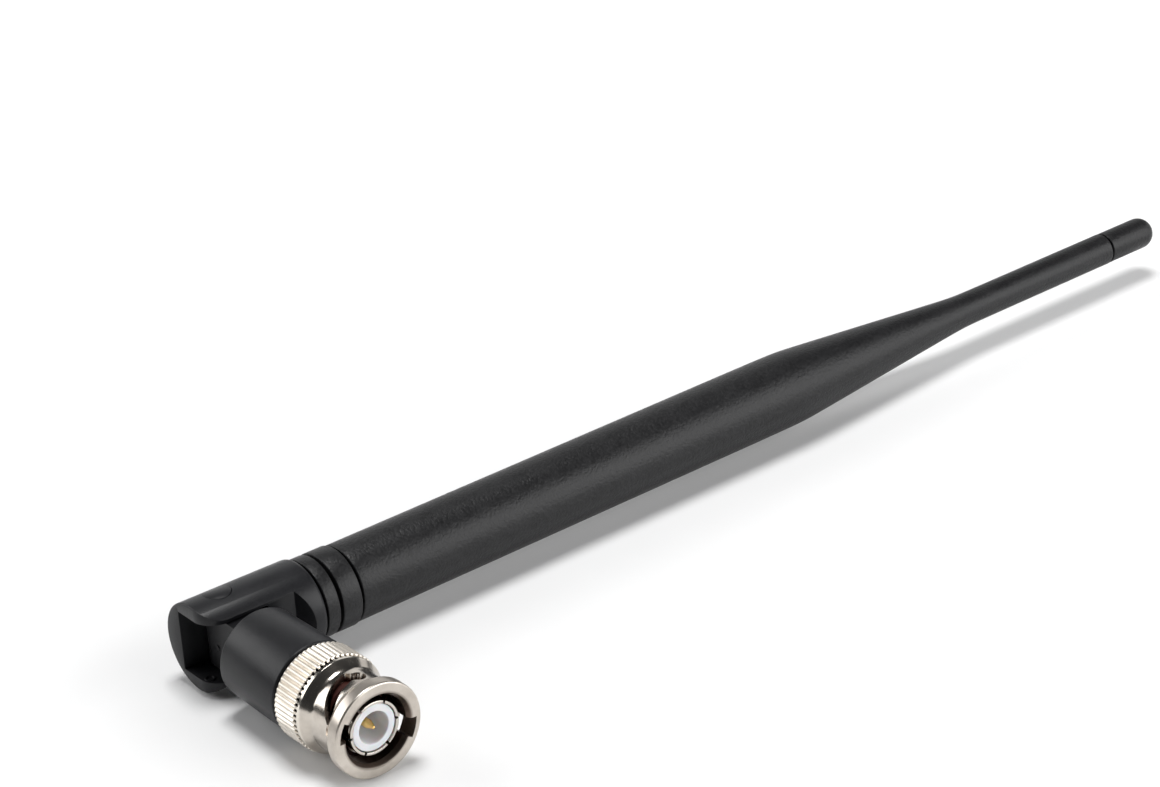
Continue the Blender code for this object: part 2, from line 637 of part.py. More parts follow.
def main():
    clear_scene()
    finishes = make_materials()
    length = CAP_SPHERE_CENTRE + CAP_RADIUS
    middle = ((length - KNURL_CREST_RADIUS) / 2, (KNUCKLE_RADIUS - NUT_FACE) / 2)
    frame = empty("antenna", location=(-middle[0], -middle[1], KNURL_CREST_RADIUS))
    mast = empty("mast_axis", frame, rotation=(0, -90, 180))
    plug = empty("plug_axis", frame, rotation=(90, 0, 0))
    hinge = empty("hinge_axis", frame, location=(PIVOT, -PIVOT, 0))
    make_fork(mast, hinge, finishes)
    make_hinge_pins(mast, hinge, finishes)
    make_barrel(plug, hinge, finishes)
    make_coupling_nut(plug, finishes)
    make_plug_body(plug, finishes)
    make_plug_insides(plug, finishes)
    make_washers(plug, finishes)
    make_elbow_cable(frame, finishes)
    make_rings(mast, finishes)
    make_radome(mast, finishes)
    make_tip_cap(mast, finishes)
    make_radiator(mast, finishes)


main()
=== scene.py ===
"""Looks of the tilting omnidirectional antenna: fine meshes for the pieces that show, a procedural material
on every piece, and a pale studio.

Lengths in the modelling functions are in millimetres, counted as in the part itself: along the mast from the
plug's axis, and along the plug from the mast's axis.
"""

from math import atan2, cos, exp, pi, radians, remainder, sin, sqrt, tan, tau

import bmesh
import bpy
from mathutils import Euler, Matrix, Vector


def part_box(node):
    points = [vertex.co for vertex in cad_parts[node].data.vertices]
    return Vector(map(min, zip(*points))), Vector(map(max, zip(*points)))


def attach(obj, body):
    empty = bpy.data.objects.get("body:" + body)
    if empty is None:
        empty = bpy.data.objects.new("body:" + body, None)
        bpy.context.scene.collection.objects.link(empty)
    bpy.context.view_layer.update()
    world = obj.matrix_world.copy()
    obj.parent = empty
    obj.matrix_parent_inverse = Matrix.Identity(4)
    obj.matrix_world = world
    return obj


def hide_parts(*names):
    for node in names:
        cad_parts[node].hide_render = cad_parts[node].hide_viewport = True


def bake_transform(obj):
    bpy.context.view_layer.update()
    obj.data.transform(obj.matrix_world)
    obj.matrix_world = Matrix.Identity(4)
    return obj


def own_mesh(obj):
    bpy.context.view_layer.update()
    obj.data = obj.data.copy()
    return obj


MM = 0.001

# Round pieces have this many sides, a multiple of the teeth of the knurl
ROUND = 168
SMALL_ROUND = 96
TEETH = 56

# Elbow
KNUCKLE_RADIUS = 6.95
SHOULDER_RADIUS = 6.72
FORK_END = -6.35
SHOULDER_END = 12.7
FORK_FLAT = 4.4
FORK_CORNER_RADIUS = 3.5
FORK_BACK_WALL = -3.25
FORK_SLOT_FLOOR = 4.0
FORK_STEP_START = 8.6
FORK_STEP_END = 10.9
SHANK_RADIUS = 5.0
SHANK_TIP = 27.0
PIVOT = -0.98
EAR_INNER_HEIGHT = 4.8
PIN_HOLE_RADIUS = 2.2
PIN_HOLE_SHIFT = 0.05  # the hole's gap shows most on the side towards the mast
PIN_HEAD_RADIUS = 2.13
PIN_RECESS = 0.02
PIN_SPIGOT_RADIUS = 1.1
PIN_BLANK_END = 8  # past the knuckle's outside, to which the head is cut
CABLE_BORE_RADIUS = 1.6
RING_MARK = (-5.2, 1.6)  # a small ejector mark on the inside of each ear, along the mast and the plug
RING_MARK_HEIGHT = 0.12

# Tongue and barrel
TONGUE_HALF_WIDTH = 3.0
TONGUE_HALF_HEIGHT = 4.5
TONGUE_CORNER_RADIUS = 1.0
PIN_SOCKET_RADIUS = 1.25
PIN_SOCKET_DEPTH = 1.8
CHANNEL_END = 2.6  # of the opening through which the cable leaves the tongue
NUB_HEIGHT = 0.2
NUB_PLACE = (0, -0.8, 1.1)
BARREL_SHOULDER = 7.4
BARREL_FRONT = 21.0
BARREL_FRONT_RADIUS = 7.15
SHANK_BORE_RADIUS = 4.1
SHANK_BORE_END = 13.8
FERRULE_BORE_RADIUS = 2.8
FERRULE_BORE_END = 9.2

# Coupling nut
NUT_REAR = 21.3
NUT_REAR_RADIUS = 6.95
NUT_REAR_BORE_RADIUS = 5.3
NUT_LIP_END = 24.4
NUT_FACE = 36.0
FLANGE_RADIUS = 7.25
FLANGE_BACK = 34.1
CREST_RADIUS = 7.45
ROOT_RADIUS = 7.17
KNURL_END = 26.3
POCKET_START = 26.05
POCKET_END = 26.74
POCKET_FLOOR_RADIUS = 6.74
RING_TOP = 7.24
NECK_RADIUS = 6.2
NECK_END = 32.9
BORE_RADIUS = 5.1
MOUTH_RADIUS = 5.6
LIP_RADIUS = 4.15
SLOT_WIDTH = 2.3
SLOT_ENTRY_ANGLE = radians(161.5)
SLOT_SWEEP = radians(79)
SLOT_ENTRY = 33.6
SLOT_DEPTH = 3.0
SLOT_EASE = radians(28)
SLOT_SLOPE = 0.55  # per radian
DETENT_START = radians(66)
DETENT_DEPTH = 1.0
SLOT_CUT_RADII = (4.5, 6.45)
SLOT_STATIONS = 44
ENTRY_WIDTH = 2.5

# Wave spring
WAVE_MIDDLE = 26.35
WAVE_SWING = 0.85
WAVE_COUNT = 3
WAVE_HALF_THICKNESS = 0.12
WAVE_RADII = (4.07, 4.83)

# Plug body
BODY_FLANGE = (27.6, 29.0)
BODY_FLANGE_RADIUS = 4.9
BODY_SHANK_RADIUS = 3.8
BODY_SHANK_END = 14.1
BODY_BORE_RADIUS = 1.55
SNAP_GROOVE = (21.35, 22.05)
SNAP_GROOVE_DEPTH = 0.35
FINGER_RADIUS = 4.05
FINGER_LIP_RADIUS = 4.15
FINGER_BORE_RADIUS = 3.68
FINGER_TIP = 35.1
FINGER_ROOT = 30.4
FINGER_COUNT = 6
FINGER_SLIT = 0.4
INSULATOR_FRONT = 34.9
INSULATOR_FLOOR = 29.8
INSULATOR_REAR = 24.0
INSULATOR_HOLE_RADIUS = 2.43
INSULATOR_MOUTH_RADIUS = 2.5
PIN_RADIUS = 0.68
PIN_TIP = 35.0
PIN_CUP_RADIUS = 0.95
PIN_CUP_END = 18.2

# Feed cable where it bends with the elbow
BEND_RADIUS = 2.4
BEND_START = 7.9
BEND_END = 4.4
CABLE_RADIUS = 0.95
CABLE_SIDES = 32

# Mast
RINGS = {"lock_ring": (12.95, 15.15), "collar": (15.65, 19.1)}
RING_RADIUS = 6.31
RING_BORE_RADIUS = 5.25
RADOME_START = 19.5
RADOME_RADIUS = 6.12
CONE_START = 109.3
CONE_END = 148.6
CONE_SOFTNESS = 2.0
TIP_RADIUS = 2.74
RADOME_END = 184.2
RADOME_WALL = 0.85
RADOME_SIDES = 240
CAP_START = 184.6
CAP_STEM = 4.0
WHIP_BORE_RADIUS = 0.8
CAP_RADIUS = 2.7
CAP_SPHERE_CENTRE = 193.4
WHIP_END = 187.0
PARTING_ANGLE = radians(87)  # of the radome's mould line, about the mast from straight down
PARTING_HEIGHT = 0.035
PARTING_WIDTH = 0.09

# Studio, in metres and watts
STUDIO_CENTRE = Vector((-0.02, 0.0, 0.01))
FLOOR_HALF_SIZE = 3.0
SOFTBOXES = {  # direction, distance, size, power
    "key_overhead": ((0.05, 0.12, 1.0), 1.6, (0.6, 0.6), 19),
    "side_right": ((0.52, -0.76, 0.36), 0.9, (1.0, 0.7), 8.6),
    "side_left": ((-0.56, 0.70, 0.45), 0.9, (0.8, 0.45), 3.9),
    "side_far": ((0.98, 0.02, 0.19), 1.0, (0.6, 0.3), 0.5),
    "back_right": ((0.45, 0.80, 0.33), 1.0, (1.1, 0.5), 1.5),
}
SKY_COLOUR = (0.95, 0.97, 1.0, 1)
SKY_STRENGTH = 0.045
CAMERA_LENS = 100.64
CAMERA_PLACE = (-0.30127, -0.33444, 0.24738)
CAMERA_ANGLES = (63.007, 2.947, -39.567)


# ---------------------------------------------------------------- meshes


def rounded(points, corner_steps=4):
    """An open profile of (radius, along) or (radius, along, fillet), with filleted corners made arcs."""
    made = []
    for k, point in enumerate(points):
        here = Vector(point[:2])
        fillet = point[2] if len(point) > 2 else 0
        if not fillet or k in (0, len(points) - 1):
            made.append(here)
            continue
        back = Vector(points[k - 1][:2]) - here
        ahead = Vector(points[k + 1][:2]) - here
        half = back.angle(ahead) / 2
        reach = min(fillet / tan(half), 0.48 * back.length, 0.48 * ahead.length)
        radius = reach * tan(half)
        centre = here + (back.normalized() + ahead.normalized()).normalized() * (radius / sin(half))
        first = here + back.normalized() * reach - centre
        last = here + ahead.normalized() * reach - centre
        start = atan2(first.y, first.x)
        turn = remainder(atan2(last.y, last.x) - start, tau)
        for step in range(corner_steps + 1):
            angle = start + turn * step / corner_steps
            made.append(centre + Vector((cos(angle), sin(angle))) * radius)
    return made


def subdivided(points, longest):
    """The same polyline with no stretch longer than this."""
    made = [points[0]]
    for first, last in zip(points, points[1:]):
        pieces = max(1, int((last - first).length / longest + 0.999))
        made += [first.lerp(last, (k + 1) / pieces) for k in range(pieces)]
    return made


def ring_of(mesh, point, sides, shape=None):
    """A ring of vertices at (radius, along). shape(angle, radius, along) can return another radius."""
    radius, along = point
    if radius < 1e-6:
        return [mesh.verts.new((0, 0, along))]
    ring = []
    for k in range(sides):
        angle = k * tau / sides
        reach = shape(angle, radius, along) if shape else radius
        ring.append(mesh.verts.new((reach * cos(angle), reach * sin(angle), along)))
    return ring


def stitch(mesh, first, second):
    if len(first) > len(second):
        first, second = second, first
    count = len(second)
    for k in range(count):
        after = (k + 1) % count
        if len(first) == 1:
            mesh.faces.new((first[0], second[k], second[after]))
        else:
            mesh.faces.new((first[k], first[after], second[after], second[k]))


def turned(points, sides=ROUND, shape=None, closed=False):
    """A bmesh turned about Z. A closed profile goes round a hollow middle."""
    mesh = bmesh.new()
    rings = [ring_of(mesh, point, sides, shape) for point in points]
    for first, second in zip(rings, rings[1:]):
        stitch(mesh, first, second)
    if closed:
        stitch(mesh, rings[-1], rings[0])
    return mesh


def arc(centre, radius, start, end, steps):
    angles = [radians(start + (end - start) * k / steps) for k in range(steps + 1)]
    return [Vector((centre[0] + radius * cos(a), centre[1] + radius * sin(a))) for a in angles]


def flat_ended(radius, low, high):
    """The profile of a plain rod or hole."""
    return [Vector(point) for point in ((0, low), (radius, low), (radius, high), (0, high))]


def prism(outline, low, high):
    """A bmesh with this outline in XY, extruded along Z."""
    mesh = bmesh.new()
    bottom = mesh.faces.new([mesh.verts.new((x, y, low)) for x, y in outline])
    raised = bmesh.ops.extrude_face_region(mesh, geom=[bottom])["geom"]
    moved = [part for part in raised if isinstance(part, bmesh.types.BMVert)]
    bmesh.ops.translate(mesh, vec=(0, 0, high - low), verts=moved)
    return mesh


def make_object(name, mesh, place):
    """A bmesh in millimetres made into an object that stands at place."""
    bmesh.ops.recalc_face_normals(mesh, faces=mesh.faces)
    bmesh.ops.scale(mesh, vec=(MM, MM, MM), verts=mesh.verts)
    data = bpy.data.meshes.new(name)
    mesh.to_mesh(data)
    mesh.free()
    made = bpy.data.objects.new(name, data)
    bpy.context.scene.collection.objects.link(made)
    made.matrix_world = place
    return made


def combine(target, tools):
    """Joins or cuts these (operation, bmesh, place) one by one, and keeps only the result."""
    for operation, mesh, place in tools:
        tool = make_object("tool", mesh, place)
        modifier = target.modifiers.new(operation, "BOOLEAN")
        modifier.operation = operation
        modifier.object = tool
        modifier.solver = "EXACT"
        bake(target)
        bpy.data.objects.remove(tool, do_unlink=True)


def bake(target):
    """Applies the object's modifiers."""
    bpy.context.view_layer.update()
    graph = bpy.context.evaluated_depsgraph_get()
    data = bpy.data.meshes.new_from_object(target.evaluated_get(graph))
    target.modifiers.clear()
    target.data = data


def soften_edges(target, width, steps=2, sharper_than=32):
    """Rounds what is left sharp after cutting."""
    modifier = target.modifiers.new("edges", "BEVEL")
    modifier.width = width * MM
    modifier.segments = steps
    modifier.limit_method = "ANGLE"
    modifier.angle_limit = radians(sharper_than)
    modifier.use_clamp_overlap = True
    modifier.miter_outer = "MITER_ARC"
    bake(target)


def finish(target, look, body, nodes, sharp_angle=40):
    target.data.shade_smooth()
    target.data.set_sharp_from_angle(angle=radians(sharp_angle))
    target.data.materials.clear()
    target.data.materials.append(look)
    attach(target, body)
    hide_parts(*nodes)
    return target


# ---------------------------------------------------------------- places


def middle_of(node, axis):
    low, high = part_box(node)
    return (low[axis] + high[axis]) / 2


def places():
    """Matrices of the plug's own frame, the mast's, the hinge's, and a plan seen from below."""
    corner = Vector((middle_of("coupling_nut", 0), middle_of("radome", 1), middle_of("radome", 2)))
    move = Matrix.Translation(corner)
    return {
        "plug": move @ Euler((radians(90), 0, 0)).to_matrix().to_4x4(),
        "mast": move @ Euler((0, radians(-90), radians(180))).to_matrix().to_4x4(),
        "plan": move @ Euler((radians(180), 0, 0)).to_matrix().to_4x4(),
        "hinge": move @ Matrix.Translation(Vector((PIVOT, -PIVOT, 0)) * MM),
    }


# ---------------------------------------------------------------- pieces


def radome_radius(along):
    slope = (RADOME_RADIUS - TIP_RADIUS) / (CONE_END - CONE_START)
    into = along - CONE_START
    out = along - CONE_END
    ramp = (into + sqrt(into**2 + CONE_SOFTNESS**2)) / 2 - (out + sqrt(out**2 + CONE_SOFTNESS**2)) / 2
    return RADOME_RADIUS - slope * ramp


def parting_line(angle, radius, along):
    """Adds the fine mould line, which runs along both sides of the cover."""
    if along < RADOME_START + 0.4 or radius < radome_radius(along) - 0.3:
        return radius
    away = min(abs((angle - middle + pi) % tau - pi) for middle in (PARTING_ANGLE, PARTING_ANGLE + pi))
    return radius + PARTING_HEIGHT * exp(-((away * radius / PARTING_WIDTH) ** 2))


def build_radome(place, look):
    foot = (RADOME_RADIUS, RADOME_START, 0.22)
    outer = rounded([(RADOME_RADIUS - 0.6, RADOME_START), foot, (RADOME_RADIUS, 21)])
    outer += subdivided([Vector((RADOME_RADIUS, 22)), Vector((RADOME_RADIUS, 100))], 6)
    along = 102.0
    while along < 160:
        outer.append(Vector((radome_radius(along), along)))
        along += 1.5
    outer += subdivided([Vector((TIP_RADIUS, 160)), Vector((TIP_RADIUS, RADOME_END - 0.6))], 6)
    outer += rounded(
        [
            (TIP_RADIUS, RADOME_END - 0.5),
            (TIP_RADIUS, RADOME_END, 0.14),
            (TIP_RADIUS - RADOME_WALL, RADOME_END),
        ]
    )
    inner = [Vector((radome_radius(at) - RADOME_WALL, at)) for at in (150, 147, 111, 105, 32)]
    inner += [Vector((RING_BORE_RADIUS, SHANK_TIP + 0.5)), Vector((RING_BORE_RADIUS, RADOME_START))]
    mesh = turned(outer + inner, RADOME_SIDES, parting_line, closed=True)
    made = make_object("mast_cover", mesh, place["mast"])
    return finish(made, look["grained"], "mast", ["radome"], 30)


def build_tip_cap(place, look):
    stem = TIP_RADIUS - RADOME_WALL - 0.2
    bottom = CAP_START - CAP_STEM
    profile = [(0, WHIP_END + 0.5), (WHIP_BORE_RADIUS, WHIP_END + 0.5)]
    profile += [(WHIP_BORE_RADIUS, bottom), (stem, bottom), (stem, CAP_START)]
    profile += [(CAP_RADIUS, CAP_START, 0.16), (CAP_RADIUS, CAP_SPHERE_CENTRE)]
    points = rounded(profile) + arc((0, CAP_SPHERE_CENTRE), CAP_RADIUS, 0, 90, 14)[1:]
    points[-1].x = 0
    made = make_object("mast_cap", turned(points, SMALL_ROUND), place["mast"])
    return finish(made, look["grained"], "mast", ["tip_cap"])


def build_rings(place, look):
    for name, (start, end) in RINGS.items():
        profile = [(RING_BORE_RADIUS, start), (RING_RADIUS, start, 0.2)]
        profile += [(RING_RADIUS, end, 0.24), (RING_BORE_RADIUS, end)]
        made = make_object(f"mast_{name}", turned(rounded(profile, 5), ROUND, closed=True), place["mast"])
        finish(made, look["satin"], "mast", [name])


def fork_outline():
    corner = (FORK_END + FORK_CORNER_RADIUS, FORK_FLAT - FORK_CORNER_RADIUS)
    beyond = KNUCKLE_RADIUS + 2
    front = [Vector((FORK_END - 3, corner[1])), *arc(corner, FORK_CORNER_RADIUS, 180, 90, 18)]
    front += [Vector((FORK_STEP_START, FORK_FLAT)), Vector((FORK_STEP_END, KNUCKLE_RADIUS + 0.4))]
    return [*front, Vector((FORK_STEP_END, beyond)), Vector((FORK_END - 3, beyond))]


def build_fork(place, look):
    profile = [
        (0, FORK_END),
        (KNUCKLE_RADIUS, FORK_END, 0.3),
        (SHOULDER_RADIUS, SHOULDER_END, 1.15),
        (SHANK_RADIUS, SHOULDER_END, 0.05),
        (SHANK_RADIUS, SHANK_TIP, 0.5),
        (0, SHANK_TIP),
    ]
    made = make_object("elbow_fork", turned(rounded(profile, 7), ROUND), place["mast"])
    beyond = KNUCKLE_RADIUS + 2
    slot = [(FORK_END - 2, FORK_BACK_WALL), (FORK_SLOT_FLOOR, FORK_BACK_WALL)]
    slot += [(FORK_SLOT_FLOOR, beyond), (FORK_END - 2, beyond)]
    bore = flat_ended(CABLE_BORE_RADIUS, FORK_SLOT_FLOOR - 1, SHANK_TIP + 1)
    tools = [
        ("DIFFERENCE", prism(fork_outline(), -beyond, beyond), place["plan"]),
        ("DIFFERENCE", prism(slot, -EAR_INNER_HEIGHT, EAR_INNER_HEIGHT), place["plan"]),
        ("DIFFERENCE", turned(bore, 48), place["mast"]),
    ]
    combine(made, tools)
    soften_edges(made, 0.16)
    holes = []
    for low, high in ((EAR_INNER_HEIGHT - 1, beyond), (-beyond, 1 - EAR_INNER_HEIGHT)):
        hole = turned(flat_ended(PIN_HOLE_RADIUS, low, high), 72)
        bmesh.ops.translate(hole, vec=(PIN_HOLE_SHIFT, 0, 0), verts=hole.verts)
        holes.append(("DIFFERENCE", hole, place["hinge"]))
    combine(made, holes)
    return finish(made, look["smooth"], "mast", ["fork_housing"], 34)


def build_ear_marks(place, look):
    """A small raised ring inside each ear, left by the mould's ejector."""
    for name, side in (("upper", -1), ("lower", 1)):
        floor = side * (EAR_INNER_HEIGHT + 0.05)
        top = side * (EAR_INNER_HEIGHT - RING_MARK_HEIGHT)
        profile = [(0.42, floor), (0.85, floor), (0.78, top, 0.05), (0.5, top, 0.05)]
        ring = turned(rounded(profile, 3), 48, closed=True)
        bmesh.ops.translate(ring, vec=(*RING_MARK, 0), verts=ring.verts)
        made = make_object(f"ear_mark_{name}", ring, place["plan"])
        made.data.shade_smooth()
        made.data.materials.append(look["smooth"])
        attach(made, "mast")


def build_hinge_pins(place, look):
    """Pins whose heads follow the knuckle's round outside, a little below it."""
    head_bottom = EAR_INNER_HEIGHT + 0.15
    tip = TONGUE_HALF_HEIGHT - PIN_SOCKET_DEPTH + 0.15
    for name, side in (("top", 1), ("bottom", -1)):
        profile = [(0, tip), (PIN_SPIGOT_RADIUS, tip, 0.2), (PIN_SPIGOT_RADIUS, head_bottom)]
        profile += [(PIN_HEAD_RADIUS, head_bottom, 0.1), (PIN_HEAD_RADIUS, PIN_BLANK_END), (0, PIN_BLANK_END)]
        points = [Vector((point.x, side * point.y)) for point in rounded(profile)]
        made = make_object(f"hinge_stub_{name}", turned(points, SMALL_ROUND), place["hinge"])
        drum = flat_ended(KNUCKLE_RADIUS - PIN_RECESS, -7, 7)
        combine(made, [("INTERSECT", turned(drum, ROUND), place["mast"])])
        soften_edges(made, 0.02)
        finish(made, look["smooth"], "mast", [f"hinge_pin_{name}"], 34)


def build_barrel(place, look):
    profile = [
        (0, BARREL_SHOULDER),
        (KNUCKLE_RADIUS - 0.02, BARREL_SHOULDER, 0.38),
        (BARREL_FRONT_RADIUS, BARREL_FRONT, 0.35),
        (SHANK_BORE_RADIUS, BARREL_FRONT, 0.15),
        (SHANK_BORE_RADIUS, SHANK_BORE_END),
        (FERRULE_BORE_RADIUS, SHANK_BORE_END),
        (FERRULE_BORE_RADIUS, FERRULE_BORE_END),
        (0, FERRULE_BORE_END),
    ]
    made = make_object("plug_barrel", turned(rounded(profile, 6), ROUND), place["plug"])
    wide = TONGUE_HALF_WIDTH
    corner = (wide - TONGUE_CORNER_RADIUS, TONGUE_CORNER_RADIUS - wide)
    outline = [Vector((wide, BARREL_SHOULDER + 0.6)), Vector((-wide, BARREL_SHOULDER + 0.6))]
    outline += arc((PIVOT, PIVOT), wide + PIVOT, 180, 270, 16)
    outline += arc(corner, TONGUE_CORNER_RADIUS, 270, 360, 8)
    past = wide + 1
    channel = [(0, -past), (past, -past), (past, CHANNEL_END), (0, CHANNEL_END)]
    bore = flat_ended(CABLE_BORE_RADIUS, -past, FERRULE_BORE_END + 0.5)
    top = wide + NUB_HEIGHT
    nub = rounded([(0, wide - 0.3), (0.55, wide - 0.3), (0.42, top, 0.12), (0, top)], 5)
    sideways = Matrix.Translation(Vector(NUB_PLACE) * MM) @ Matrix.Rotation(-pi / 2, 4, "Y")
    tools = [
        ("UNION", prism(outline, -TONGUE_HALF_HEIGHT, TONGUE_HALF_HEIGHT), place["plan"]),
        ("UNION", turned(nub, 32), place["plug"] @ sideways),
        ("DIFFERENCE", turned(bore, 48), place["plug"]),
        ("DIFFERENCE", prism(channel, -CABLE_BORE_RADIUS, CABLE_BORE_RADIUS), place["plan"]),
    ]
    for side in (1, -1):
        ends = sorted((side * (TONGUE_HALF_HEIGHT - PIN_SOCKET_DEPTH), side * (TONGUE_HALF_HEIGHT + 1)))
        tools.append(("DIFFERENCE", turned(flat_ended(PIN_SOCKET_RADIUS, *ends), 48), place["hinge"]))
    combine(made, tools)
    soften_edges(made, 0.14)
    return finish(made, look["smooth"], "plug", ["barrel"], 34)


def cam_distance(turn):
    """The middle of the bayonet slot after this much turn: a ramp that eases off, then the detent."""
    ramp = SLOT_ENTRY - SLOT_DEPTH * (1 - exp(-turn / SLOT_EASE)) - SLOT_SLOPE * turn
    into = min(max((turn - DETENT_START) / (SLOT_SWEEP - DETENT_START), 0), 1)
    return ramp + DETENT_DEPTH * into * into * (3 - 2 * into)


def slot_cutter(first_angle):
    """What cuts one bayonet slot: its entry through the flange, the cam, and the round end at the detent."""
    half = SLOT_WIDTH / 2
    lead = ENTRY_WIDTH / 2 / BORE_RADIUS
    entry = [lead * k / 2 for k in range(-2, 3)]
    stations = [(turn, cam_distance(max(turn, 0)) - half, NUT_FACE + 1) for turn in entry]
    for k in range(SLOT_STATIONS + 1):
        turn = lead + 0.01 + (SLOT_SWEEP - lead - 0.01) * k / SLOT_STATIONS
        stations.append((turn, cam_distance(turn) - half, cam_distance(turn) + half))
    for past in range(10, 90, 11):
        turn = SLOT_SWEEP + half * sin(radians(past)) / NECK_RADIUS
        reach = half * cos(radians(past))
        stations.append((turn, cam_distance(turn) - reach, cam_distance(turn) + reach))
    inner, outer = SLOT_CUT_RADII
    mesh = bmesh.new()
    rings = []
    for turn, near, far in stations:
        angle = first_angle - turn
        corners = ((inner, near), (outer, near), (outer, far), (inner, far))
        rings.append([mesh.verts.new((r * cos(angle), r * sin(angle), along)) for r, along in corners])
    for first, second in zip(rings, rings[1:]):
        stitch(mesh, first, second)
    mesh.faces.new(rings[0])
    mesh.faces.new(rings[-1])
    return mesh


def knurl(angle, radius, along):
    """Straight teeth with rounded crests. Their valleys end in a row of deep pockets by the smooth ring."""
    phase = (angle * TEETH / tau) % 1
    in_pocket = POCKET_START - 0.01 < along < POCKET_END + 0.01 and abs(phase - 0.5) < 0.24
    if in_pocket and radius > ROOT_RADIUS:
        return POCKET_FLOOR_RADIUS
    if radius < ROOT_RADIUS - 0.05 or along > KNURL_END + 0.01:
        return radius
    valley = max(0.0, 1 - abs(phase - 0.5) / 0.3)
    return radius - (radius - ROOT_RADIUS + 0.02) * valley**0.8 if radius > ROOT_RADIUS else radius


def build_nut(place, look):
    profile = [
        (LIP_RADIUS, NUT_REAR + 1),
        (NUT_REAR_BORE_RADIUS, NUT_REAR + 1),
        (NUT_REAR_BORE_RADIUS, NUT_REAR, 0.1),
        (NUT_REAR_RADIUS, NUT_REAR, 0.1),
        (CREST_RADIUS, NUT_REAR + 0.5, 0.25),
        (CREST_RADIUS, POCKET_START - 0.02),
        (CREST_RADIUS, POCKET_START),
        (CREST_RADIUS, KNURL_END, 0.05),
        (RING_TOP, KNURL_END + 0.08),
        (RING_TOP, POCKET_END),
        (RING_TOP, POCKET_END + 0.02),
        (RING_TOP, KNURL_END + 0.86, 0.1),
        (NECK_RADIUS, KNURL_END + 2.2, 1.5),
        (NECK_RADIUS + 0.1, NECK_END, 1.5),
        (FLANGE_RADIUS, FLANGE_BACK, 0.12),
        (FLANGE_RADIUS, NUT_FACE, 0.3),
        (MOUTH_RADIUS, NUT_FACE, 0.06),
        (BORE_RADIUS, NUT_FACE - 0.7, 0.1),
        (BORE_RADIUS, NUT_LIP_END),
        (LIP_RADIUS, NUT_LIP_END),
    ]
    points = rounded(profile, 6)
    made = make_object("bayonet_nut", turned(points, TEETH * 8, knurl, closed=True), place["plug"])
    slots = [slot_cutter(SLOT_ENTRY_ANGLE), slot_cutter(SLOT_ENTRY_ANGLE + pi)]
    combine(made, [("DIFFERENCE", slot, place["plug"]) for slot in slots])
    return finish(made, look["nut_nickel"], "nut", ["coupling_nut"], 38)


def build_plug_body(place, look):
    groove_floor = BODY_SHANK_RADIUS - SNAP_GROOVE_DEPTH
    profile = [
        (BODY_BORE_RADIUS, BODY_SHANK_END),
        (BODY_SHANK_RADIUS, BODY_SHANK_END, 0.1),
        (BODY_SHANK_RADIUS, SNAP_GROOVE[0], 0.03),
        (groove_floor, SNAP_GROOVE[0], 0.03),
        (groove_floor, SNAP_GROOVE[1], 0.03),
        (BODY_SHANK_RADIUS, SNAP_GROOVE[1], 0.03),
        (BODY_SHANK_RADIUS, BODY_FLANGE[0], 0.1),
        (BODY_FLANGE_RADIUS, BODY_FLANGE[0], 0.15),
        (BODY_FLANGE_RADIUS, BODY_FLANGE[1], 0.15),
        (FINGER_RADIUS, BODY_FLANGE[1], 0.15),
        (FINGER_RADIUS, FINGER_TIP - 0.95, 0.3),
        (FINGER_LIP_RADIUS, FINGER_TIP - 0.5, 0.3),
        (FINGER_LIP_RADIUS - 0.05, FINGER_TIP, 0.12),
        (FINGER_BORE_RADIUS, FINGER_TIP, 0.08),
        (FINGER_BORE_RADIUS, INSULATOR_REAR - 0.3),
        (BODY_BORE_RADIUS, INSULATOR_REAR - 0.3),
    ]
    made = make_object("contact_body", turned(rounded(profile, 5), ROUND, closed=True), place["plug"])
    tools = []
    for k in range(FINGER_COUNT // 2):
        angle = radians(1) + k * tau / FINGER_COUNT
        along = Vector((cos(angle), sin(angle))) * (FINGER_LIP_RADIUS + 1)
        across = Vector((-sin(angle), cos(angle))) * FINGER_SLIT / 2
        outline = [-along - across, along - across, along + across, across - along]
        tools.append(("DIFFERENCE", prism(outline, FINGER_ROOT, FINGER_TIP + 1), place["plug"]))
    combine(made, tools)
    soften_edges(made, 0.04, 1)
    return finish(made, look["contact_nickel"], "plug", ["outer_contact"], 38)


def build_plug_insides(place, look):
    insulator = [
        (PIN_RADIUS + 0.12, INSULATOR_REAR),
        (FINGER_BORE_RADIUS - 0.12, INSULATOR_REAR),
        (FINGER_BORE_RADIUS - 0.12, INSULATOR_FRONT, 0.14),
        (INSULATOR_MOUTH_RADIUS, INSULATOR_FRONT, 0.12),
        (INSULATOR_HOLE_RADIUS, INSULATOR_FRONT - 0.3, 0.2),
        (INSULATOR_HOLE_RADIUS, INSULATOR_FLOOR, 0.3),
        (PIN_RADIUS + 0.12, INSULATOR_FLOOR, 0.08),
    ]
    made = make_object("insulator_sleeve", turned(rounded(insulator, 6), ROUND, closed=True), place["plug"])
    finish(made, look["ptfe"], "plug", ["insulator"])
    pin = [
        (0, PIN_CUP_END + 1.9),
        (0.42, PIN_CUP_END + 1.7),
        (0.5, PIN_CUP_END, 0.05),
        (PIN_CUP_RADIUS, PIN_CUP_END, 0.05),
        (PIN_CUP_RADIUS, INSULATOR_REAR - 0.6, 0.05),
        (PIN_RADIUS, INSULATOR_REAR - 0.3),
        (PIN_RADIUS, PIN_TIP - 1.45, 0.5),
        (0.2, PIN_TIP - 0.12, 0.12),
        (0, PIN_TIP),
    ]
    made = make_object("contact_pin", turned(rounded(pin, 6), 64), place["plug"])
    finish(made, look["gold"], "plug", ["center_pin"])


